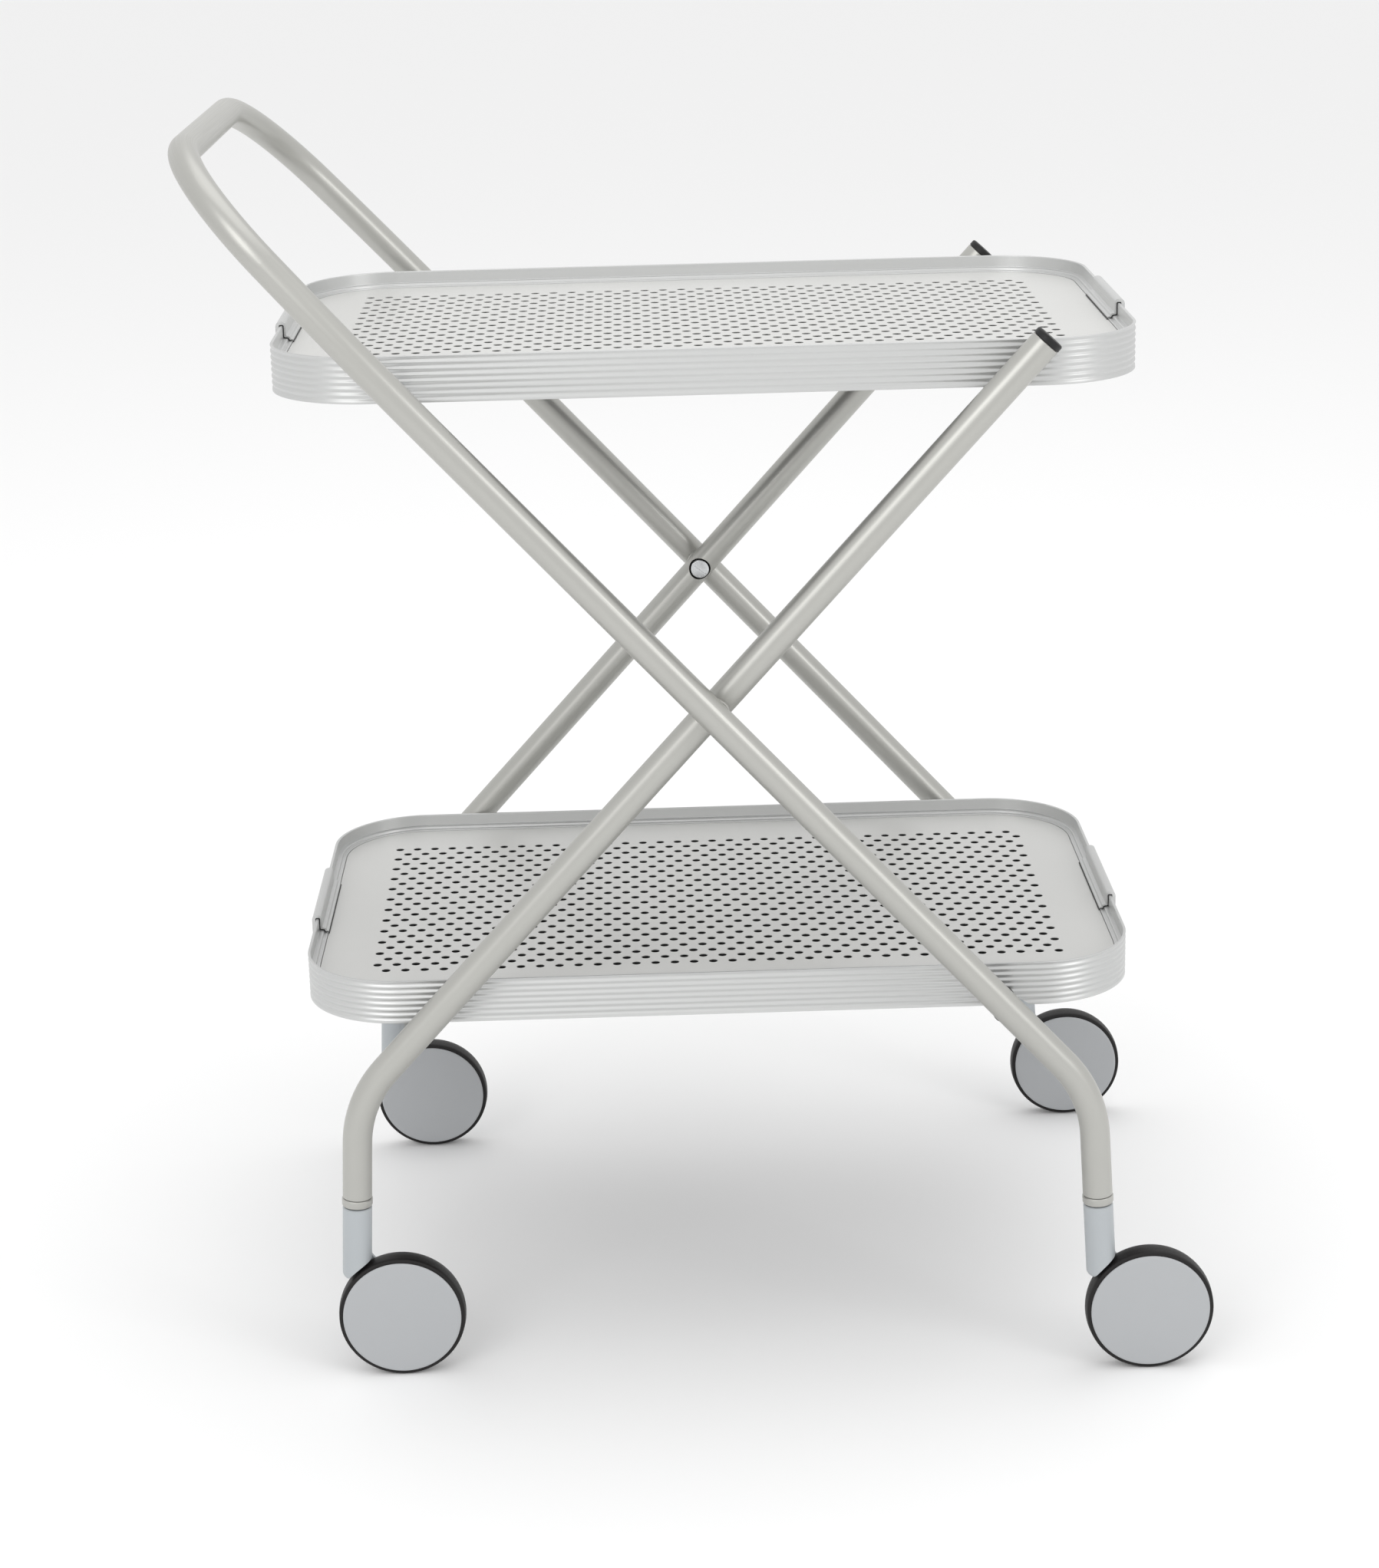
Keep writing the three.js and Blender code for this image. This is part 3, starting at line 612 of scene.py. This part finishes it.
def rounded_section(corners, steps=4):
    """A closed section whose (inset, height, radius) corners are rounded off."""
    points = []
    for i, (x, z, radius) in enumerate(corners):
        if not radius:
            points.append((x, z))
            continue
        at = Vector((x, z))
        before = Vector(corners[i - 1][:2]) - at
        after = Vector(corners[(i + 1) % len(corners)][:2]) - at
        reach = min(radius, before.length * 0.45, after.length * 0.45)
        a, b = at + before.normalized() * reach, at + after.normalized() * reach
        for k in range(steps + 1):
            t = k / steps
            p = a * (1 - t) ** 2 + at * 2 * t * (1 - t) + b * t ** 2
            points.append((p.x, p.y))
    return points


def rim_section():
    """A ribbed outer face, a thin wall, two rounded steps and the shelf that carries the deck, as
    (inset, height) points."""
    ribs = []
    height = TOP_CREST + RIB_PITCH
    while height > LOWEST_RIB_POINT:
        phase = 2 * math.pi * (height - TOP_CREST) / RIB_PITCH
        ribs.append((RIB_DEPTH / 2 * (1 - math.cos(phase)), height))
        height -= RIB_PITCH / RIB_STEPS
    shelf_top = DECK_BOTTOM - GAP
    shelf_bottom = DECK_BOTTOM - GAP - RIM_SHELF_THICK
    inner = rounded_section([
        (0.0, 0.0, 0.3), (RIM_FOOT, 0, 0.2), (RIM_FOOT, shelf_bottom, 0.3),
        (RIM_SHELF, shelf_bottom, 0), (RIM_SHELF, shelf_top, 0),
        (DECK_INSET - GAP, shelf_top, 0), (DECK_INSET - GAP, DECK_TOP + 0.7, 0.5),
        (4.9, DECK_TOP + 0.8, 0.25), (4.6, DECK_TOP + 2.3, 0.7), (RIM_WALL, DECK_TOP + 2.5, 0.4),
        (RIM_WALL, TRAY_HEIGHT, 0.6), (0.0, TRAY_HEIGHT, 0)])
    return ribs + inner[:-1] + [(0.5, TRAY_HEIGHT), (0.15, TRAY_HEIGHT - 0.08)]


def rod_notch(tray):
    """The cuts through a tray's long sides that drop over the outer frame's rod."""
    spot = rod_spots(tray)[0]
    across = TRAY_WIDTH / 2 + NOTCH_OVERCUT
    direction = -Z if tray == "upper" else Vector(
        (math.cos(LOWER_DRAW_ANGLE), 0, -math.sin(LOWER_DRAW_ANGLE)))
    side = direction.cross(Y) * ROD_HOLE_R
    far = spot + direction * NOTCH_REACH
    return [bar(ROD_HOLE_R, -across, across, spot),
            prism((spot - side, spot + side, far + side, far - side), -across, across)]


def flat_sheet(name, outline, top, thick, look, body, holes=(), stands_for=()):
    """A flat sheet with round holes right through it. The holes' sides are painted shade: they take
    the dark backing finish, so each hole reads dark all over."""
    curve = bpy.data.curves.new(name, "CURVE")
    curve.dimensions = "2D"
    curve.fill_mode = "BOTH"
    curve.extrude = thick / 2 * MM
    for loop in [outline, *holes]:
        spline = curve.splines.new("POLY")
        spline.points.add(len(loop) - 1)
        spline.points.foreach_set("co", [c for x, y in loop for c in (x * MM, y * MM, 0, 1)])
        spline.use_cyclic_u = True
    helper = add_object(name + "_curve", curve)
    mesh = evaluated_mesh(helper)
    bpy.data.objects.remove(helper)
    mesh.transform(Matrix.Translation(FOLD_AT + Z * (top - thick / 2) * MM))
    shape = bmesh.new()
    shape.from_mesh(mesh)
    bmesh.ops.remove_doubles(shape, verts=shape.verts, dist=1e-6)
    bmesh.ops.recalc_face_normals(shape, faces=shape.faces)
    # Painted shade: every upright face, the holes' sides among them, takes the dark finish (material
    # 1) in place of the sheet's own.
    for face in shape.faces:
        face.material_index = 1 if abs(face.normal.z) < 0.5 else 0
    shape.to_mesh(mesh)
    shape.free()
    mesh.materials.clear()
    mesh.materials.append(look)
    mesh.materials.append(BACKING_AND_HOLE_SHADE)
    piece = add_object(name, mesh)
    soften(piece, SHEET_SMOOTH_ANGLE)
    register(piece, body, stands_for)


def deck_holes():
    """The outline of every hole in a deck, row by row."""
    holes = []
    for row in range(HOLE_ROWS):
        y = ((HOLE_ROWS - 1) / 2 - row) * HOLE_ROW_PITCH
        shift = HOLE_STAGGER if row % 2 else -HOLE_STAGGER
        for k in range(HOLES_PER_ROW):
            x = (k - (HOLES_PER_ROW - 1) / 2) * HOLE_PITCH + shift
            holes.append([(x + HOLE_R * math.cos(a), y + HOLE_R * math.sin(a))
                          for a in circle_angles(HOLE_SIDES)])
    return holes


def grip_section():
    """The grip sleeve's section, as (inset, height) points: up the rim's outer face, over its top,
    down over the steps, and back."""
    return rounded_section([
        (-0.3, 14, 0), (-0.3, 27.45, 0.3), (2.1, 27.45, 0.3), (2.1, DECK_TOP + 3.05, 0.4),
        (4.95, DECK_TOP + 2.6, 0.6), (5.2, DECK_TOP + 1.15, 0.3), (6.6, DECK_TOP + 1.0, 0.2),
        (6.7, DECK_TOP + 0.35, 0.1), (7.6, DECK_TOP + 0.3, 0.25), (7.6, DECK_TOP + 1.9, 0.5),
        (6.1, DECK_TOP + 2.2, 0.3), (5.8, DECK_TOP + 3.6, 0.7), (3.5, DECK_TOP + 4.0, 0.5),
        (3.4, 28.2, 0.6), (2.5, 29.4, 0.8), (0.8, 29.8, 1.0), (-1.6, 29.3, 1.0),
        (-2.7, 27.4, 1.0), (-2.7, 14, 0.5)])


def shade_line_section():
    """A thin dark strip between the sleeve and the rim, seen only as a line round the sleeve:
    painted shade, standing in for the shadow in the gap at the sleeve's ends.
    """
    path = [Vector(p) for p in rounded_section([
        (-0.36, 15.0, 0), (-0.36, 27.6, 0.5), (2.2, 27.6, 0.6), (2.2, DECK_TOP + 3.0, 0.7),
        (5.0, DECK_TOP + 2.7, 0.7), (5.4, DECK_TOP + 1.3, 0.6), (7.4, DECK_TOP + 1.2, 0.5),
        (7.8, DECK_TOP + 0.32, 0.3), (8.1, DECK_TOP + 0.3, 0)])]
    last = len(path) - 1
    upper, lower = [], []
    for i, p in enumerate(path):
        ahead = (path[min(i + 1, last)] - path[max(i - 1, 0)]).normalized()
        across = Vector((-ahead.y, ahead.x)) * SHADE_LINE_HALF_THICK
        upper.append(tuple(p + across))
        lower.append(tuple(p - across))
    return upper + lower[::-1]


def end_sleeve(section, end, length, bottom):
    """A section run along the middle of a tray's end: -1 at the left, 1 at the right."""
    return lattice([[Vector((end * (TRAY_LENGTH / 2 - inset), y, bottom + height))
                     for inset, height in section] for y in (-length / 2, length / 2)])


def make_tray(tray, holes):
    bottom = TRAY_TOPS[tray] - TRAY_HEIGHT
    body = f"{tray}_tray"
    section = rim_section()
    loops = [tray_outline(inset) for inset, _ in section]
    rings = [[Vector((x, y, bottom + height)) for (x, y), (_, height) in zip(station, section)]
             for station in zip(*loops)]
    rim = make_piece(f"{tray}_rim", lattice(rings, closed=True), "tray_rim", body,
                     [f"{tray}_tray_rim"], SHEET_SMOOTH_ANGLE)
    carve(rim, rod_notch(tray), sharp=SHEET_SMOOTH_ANGLE)
    edge = tray_outline(DECK_INSET, 24)
    flat_sheet(f"{tray}_deck", edge, bottom + DECK_TOP, SHEET_THICK,
               FINISHES["tray_deck"], body, holes, [f"{tray}_tray_deck"])
    flat_sheet(f"{tray}_deck_backing", edge, bottom + DECK_TOP - SHEET_THICK - BACKING_GAP,
               BACKING_THICK, BACKING_AND_HOLE_SHADE, body)
    for end_name, end in ENDS.items():
        make_piece(f"{tray}_grip_{end_name}", end_sleeve(grip_section(), end, GRIP_LENGTH, bottom),
                   "tray_rim", body, [f"{tray}_tray_grip_{end_name}"])
        # Painted shade: this dark strip in the black plastic finish stands in for the shadow line
        # where each sleeve's end meets the rim.
        make_piece(f"{tray}_grip_shade_line_{end_name}",
                   end_sleeve(shade_line_section(), end, GRIP_LENGTH + SHADE_LINE_EXTRA, bottom),
                   "black_plastic", body)


HOLES = deck_holes()
for tray_name in TRAY_TOPS:
    make_tray(tray_name, HOLES)


# ------------------------------------------------------------------ castors
def arm_outline():
    """The arm's outline, as (trail, height) points: two arcs joined by their shared tangents."""
    hood_x, hood_z, hood_r = ARM_HOOD_END
    axle_x, axle_z, axle_r = ARM_AXLE_END
    along = math.atan2(axle_z - hood_z, axle_x - hood_x)
    tilt = math.acos((hood_r - axle_r) / math.hypot(axle_x - hood_x, axle_z - hood_z))
    points = []
    for (x, z, radius), start, stop in (
            (ARM_AXLE_END, along - tilt, along + tilt),
            (ARM_HOOD_END, along + tilt, along + 2 * math.pi - tilt)):
        for k in range(ARM_ARC_STEPS + 1):
            a = start + (stop - start) * k / ARM_ARC_STEPS
            points.append((x + radius * math.cos(a), z + radius * math.sin(a)))
    return points


def shrunk(points, amount):
    """A closed convex outline moved in by amount."""
    moved = []
    count = len(points)
    for i, (x, z) in enumerate(points):
        (x0, z0), (x1, z1) = points[i - 1], points[(i + 1) % count]
        direction = Vector((x1 - x0, z1 - z0)).normalized()
        moved.append((x - direction.y * amount, z + direction.x * amount))
    return moved


def hood_profile():
    profile = [(0, HOOD_BOTTOM)]
    for k in range(HOOD_ROUND_STEPS + 1):
        a = math.pi / 2 / HOOD_ROUND_STEPS * k
        profile.append((HOOD_R - HOOD_ROUND * (1 - math.sin(a)),
                        HOOD_BOTTOM + HOOD_ROUND * (1 - math.cos(a))))
    return profile + [(HOOD_R, HOOD_TOP - HOOD_EDGE), (HOOD_R - HOOD_EDGE, HOOD_TOP),
                      (0, HOOD_TOP)]


def make_housing(corner, body, end, upward, outward_x, axle_at):
    """The hood round the stem and the arm behind the wheel, with the wheel's room cut out."""
    housing = make_piece(f"hood_{corner}", turned(hood_profile(), 48, end, upward),
                         "castor_plastic", body, [f"castor_housing_{corner}"])
    outline = arm_outline()
    slices = ((ARM_FROM, 0), (ARM_TO - ARM_EDGE, 0), (ARM_TO - 0.25, 0.25), (ARM_TO, ARM_EDGE))
    rings = [[end + outward_x * x + Y * depth + upward * z for x, z in shrunk(outline, inset)]
             for depth, inset in slices]
    carve(housing, [lattice(rings)], "UNION")
    bore_r, bore_bottom = STEM_R + STEM_CLEARANCE, HOOD_TOP - STEM_DEPTH - 0.5
    bore = [(0, bore_bottom), (bore_r, bore_bottom), (bore_r, HOOD_TOP + 2), (0, HOOD_TOP + 2)]
    carve(housing, [bar(CLEAR_R, CLEAR_FROM, ARM_FROM, axle_at, WHEEL_SIDES),
                    turned(bore, 24, end, upward),
                    bar(AXLE_R + AXLE_CLEARANCE, 0, ARM_TO + 3, axle_at, 24)])


def make_wheel(corner, wheel, axle_at):
    make_piece(f"tyre_{corner}", turned(TREAD, WHEEL_SIDES, axle_at), "tyre", wheel,
               [f"wheel_tyre_{corner}"])
    make_piece(f"disc_{corner}", turned(DISC, WHEEL_SIDES, axle_at), "wheel_disc", wheel,
               [f"wheel_disc_{corner}"])
    ribs = []
    for a in circle_angles(HUB_RIBS):
        out, across = Vector((math.cos(a), 0, math.sin(a))), Vector((-math.sin(a), 0, math.cos(a)))
        ribs.append(prism([axle_at + out * radius + across * w for radius, w in (
            (HUB_RIB_FROM, -HUB_RIB_HALF_WIDTH), (HUB_RIB_TO, -HUB_RIB_HALF_WIDTH),
            (HUB_RIB_TO, HUB_RIB_HALF_WIDTH), (HUB_RIB_FROM, HUB_RIB_HALF_WIDTH))],
            *HUB_RIB_FACES))
    hub = make_piece(f"hub_{corner}", turned(HUB, WHEEL_SIDES, axle_at), "castor_plastic", wheel,
                     [f"wheel_hub_{corner}"])
    carve(hub, ribs, "UNION")


def make_castor(corner, side, y):
    """A castor in its leg's own frame: its origin at the leg's end, and its axis up the leg."""
    end = at_y(leg_end(side), y)
    upward = -leg_down(side)
    outward_x = Y.cross(upward)
    axle_at = end + outward_x * TRAIL - upward * DROP
    body = f"castor_{corner}"

    collar = [(0, -COLLAR_HEIGHT), (COLLAR_R - 0.9, -COLLAR_HEIGHT),
              (COLLAR_R - 0.25, 0.25 - COLLAR_HEIGHT), (COLLAR_R, 0.9 - COLLAR_HEIGHT),
              (COLLAR_R, -GAP - 0.6), (COLLAR_R - 0.5, -GAP), (TUBE_INSERT_R, -GAP),
              (TUBE_INSERT_R, COLLAR_INSERT), (0, COLLAR_INSERT)]
    make_piece(f"collar_{corner}", turned(collar, 48, end, upward), "frame_tube",
               "outer_frame" if side > 0 else "inner_frame", [f"castor_socket_{corner}"])
    make_housing(corner, body, end, upward, outward_x, axle_at)
    make_wheel(corner, f"wheel_{corner}", axle_at)
    make_piece(f"axle_{corner}", turned(AXLE, 32, axle_at), "steel", body,
               [f"castor_axle_{corner}"])

    bottom, shoulder, top = HOOD_TOP - STEM_DEPTH, HOOD_TOP + GAP, HOOD_TOP + STEM_RISE
    stem = [(0, bottom), (STEM_R, bottom), (STEM_R, shoulder), (SHOULDER_R, shoulder),
            (SHOULDER_R, shoulder + SHOULDER_THICK), (STEM_R, shoulder + SHOULDER_THICK),
            (STEM_R, top - 1), (STEM_R - STEM_EDGE, top), (0, top)]
    make_piece(f"stem_{corner}", turned(stem, 32, end, upward), "steel", body,
               [f"castor_stem_{corner}"])


for corner, (side, y) in CORNERS.items():
    make_castor(corner, side, y)

# The stops under the trays keep their CAD shape, in the rims' finish.
for tray_name in TRAY_TOPS:
    for side_name in SIDES:
        stop = frame["nodes"][f"{tray_name}_tray_stop_{side_name}"]
        stop.data.materials.clear()
        stop.data.materials.append(FINISHES["tray_rim"])

# ------------------------------------------------------------------ floor, light and camera
FLOOR_HALF = 40                 # metres
FLOOR_TONE = 0.93
ROOM_LIGHT = 0.94

floor_mesh = bpy.data.meshes.new("floor")
floor_mesh.from_pydata([(-FLOOR_HALF, -FLOOR_HALF, 0), (FLOOR_HALF, -FLOOR_HALF, 0),
                        (FLOOR_HALF, FLOOR_HALF, 0), (-FLOOR_HALF, FLOOR_HALF, 0)], [],
                       [(0, 1, 2, 3)])
floor = add_object("floor", floor_mesh)
floor_finish = bpy.data.materials.new("floor")
floor_finish.use_nodes = True
floor_shader = floor_finish.node_tree.nodes["Principled BSDF"]
floor_shader.inputs["Base Color"].default_value = (FLOOR_TONE, FLOOR_TONE, FLOOR_TONE, 1)
floor_shader.inputs["Roughness"].default_value = 0.9
floor_shader.inputs["Specular IOR Level"].default_value = 0.1
floor_mesh.materials.append(floor_finish)

world = bpy.data.worlds.new("studio")
world.use_nodes = True
world.node_tree.nodes["Background"].inputs["Color"].default_value = (1, 1, 1, 1)
world.node_tree.nodes["Background"].inputs["Strength"].default_value = ROOM_LIGHT
bpy.context.scene.world = world
bpy.context.scene.view_settings.view_transform = "Standard"


def softbox(name, at, toward, size, power):
    """A rectangular light: places and size in metres, power in watts."""
    light = bpy.data.lights.new(name, "AREA")
    light.shape = "RECTANGLE"
    light.size, light.size_y = size
    light.energy = power
    lamp = add_object(name, light)
    lamp.location = at
    lamp.rotation_mode = "QUATERNION"
    lamp.rotation_quaternion = (Vector(toward) - Vector(at)).to_track_quat("-Z", "Y")


softbox("key", (-1.3, -2.4, 1.9), (0, 0, 0.4), (1.6, 1.6), 19)
softbox("right", (2.2, -2.0, 1.6), (0, 0, 0.45), (1.0, 1.4), 13)
softbox("top", (0.2, 0.4, 3.2), (0, 0, 0.4), (2.8, 2.8), 20)

CAMERA_FROM_FOLD = Vector((-0.042324, -2.01892, 0.52985))      # metres
CAMERA_LENS = 75.18
SENSOR_WIDTH = 36.0
PITCH, YAW, ROLL = math.radians(17.365), math.radians(0.824), math.radians(-1.447)
forward = Vector((math.sin(YAW) * math.cos(PITCH), math.cos(YAW) * math.cos(PITCH),
                  -math.sin(PITCH)))
level_right = forward.cross(Z).normalized()
level_up = level_right.cross(forward)
camera_right = level_right * math.cos(ROLL) + level_up * math.sin(ROLL)
camera_up = level_up * math.cos(ROLL) - level_right * math.sin(ROLL)
camera_data = bpy.data.cameras.new("camera")
camera_data.lens = CAMERA_LENS
camera_data.sensor_width = SENSOR_WIDTH
camera = add_object("camera", camera_data)
turn = Matrix((camera_right, camera_up, -forward)).transposed()
camera.matrix_world = Matrix.Translation(FOLD_AT + CAMERA_FROM_FOLD) @ turn.to_4x4()
bpy.context.scene.camera = camera
